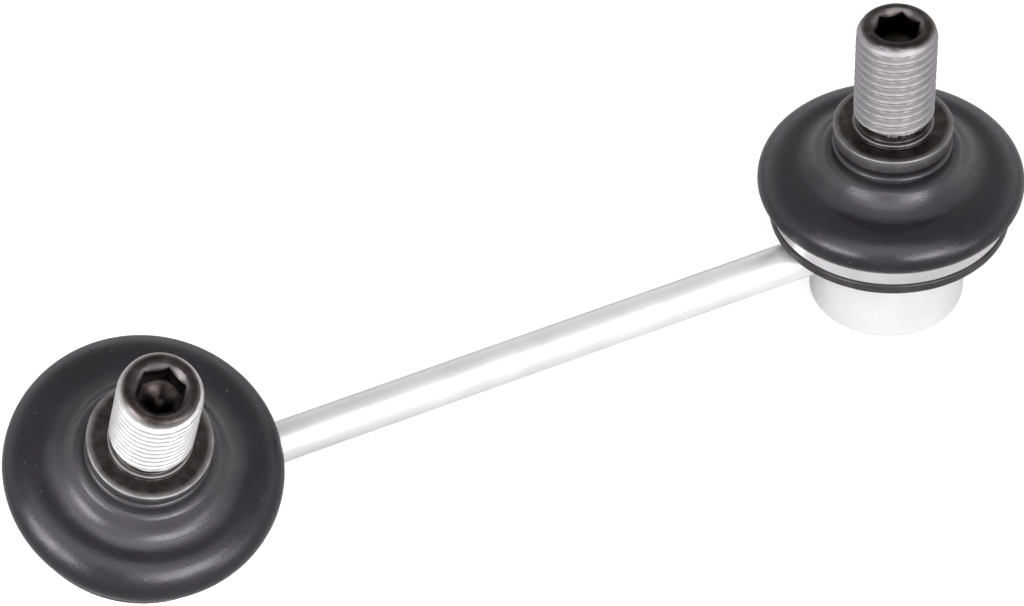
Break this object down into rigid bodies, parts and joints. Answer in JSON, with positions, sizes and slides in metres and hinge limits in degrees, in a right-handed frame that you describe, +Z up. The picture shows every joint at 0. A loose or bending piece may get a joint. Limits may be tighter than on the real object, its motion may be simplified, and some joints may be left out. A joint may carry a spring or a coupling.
{
  "type": "stabilizer link",
  "caption": "Slim anti-roll bar link: a round rod joins two booted ball joints whose threaded studs, one twisted about the rod, swing and turn freely.",
  "frame": {"origin": "centre of the right joint's base face, the raised middle of its end cover, on the stud's axis", "axes": "+X along the rod, from the left joint to the right one; +Z up along the right joint's stud, which is upright when the link stands on its right base; the left joint is twisted 25 degrees about the rod, so that its stud leans towards -Y"},
  "size_m": [0.1352, 0.0355, 0.0467],
  "materials": {
    "zinc_steel": "bright zinc plated steel, smooth",
    "stud_steel": "machined steel, bright on the thread and darker at the end and collar",
    "phosphated_steel": "dark phosphated steel, matte",
    "cover_steel": "zinc plated pressed steel, slightly dull",
    "boot_rubber": "satin charcoal rubber",
    "seat_plastic": "natural acetal, satin"
  },
  "bodies": {
    "link": {"rod": "zinc_steel", "left_weld": "zinc_steel", "left_housing": "zinc_steel", "left_end_cover": "cover_steel", "left_ball_seat": "seat_plastic", "left_boot_seat_ring": "phosphated_steel", "left_boot_clamp_band": "zinc_steel", "right_weld": "zinc_steel", "right_housing": "zinc_steel", "right_end_cover": "cover_steel", "right_ball_seat": "seat_plastic", "right_boot_seat_ring": "phosphated_steel", "right_boot_clamp_band": "zinc_steel"},
    "left_boot": {"left_dust_boot": "boot_rubber"},
    "left_neck": {"left_neck_ring": "seat_plastic"},
    "left_stud": {"left_ball_stud": "stud_steel"},
    "right_boot": {"right_dust_boot": "boot_rubber"},
    "right_neck": {"right_neck_ring": "seat_plastic"},
    "right_stud": {"right_ball_stud": "stud_steel"}
  },
  "joints": [
    {"name": "left_swing_across", "type": "hinge", "parent": "link", "child": "left_boot", "pos_m": [-0.102, 0, 0.0104], "axis": [1, 0, 0], "range_deg": [-14, 14], "deforming": ["left_dust_boot"]},
    {"name": "left_swing_along", "type": "hinge", "parent": "left_boot", "child": "left_neck", "pos_m": [-0.102, 0, 0.0104], "axis": [0, 0.9063, 0.4226], "range_deg": [-14, 14], "deforming": ["left_dust_boot"]},
    {"name": "left_spin", "type": "hinge", "parent": "left_neck", "child": "left_stud", "pos_m": [-0.102, 0, 0.0104], "axis": [0, -0.4226, 0.9063], "continuous": true},
    {"name": "right_swing_across", "type": "hinge", "parent": "link", "child": "right_boot", "pos_m": [0, 0, 0.0104], "axis": [1, 0, 0], "range_deg": [-14, 14], "deforming": ["right_dust_boot"]},
    {"name": "right_swing_along", "type": "hinge", "parent": "right_boot", "child": "right_neck", "pos_m": [0, 0, 0.0104], "axis": [0, 1, 0], "range_deg": [-14, 14], "deforming": ["right_dust_boot"]},
    {"name": "right_spin", "type": "hinge", "parent": "right_neck", "child": "right_stud", "pos_m": [0, 0, 0.0104], "axis": [0, 0, 1], "continuous": true}
  ]
}
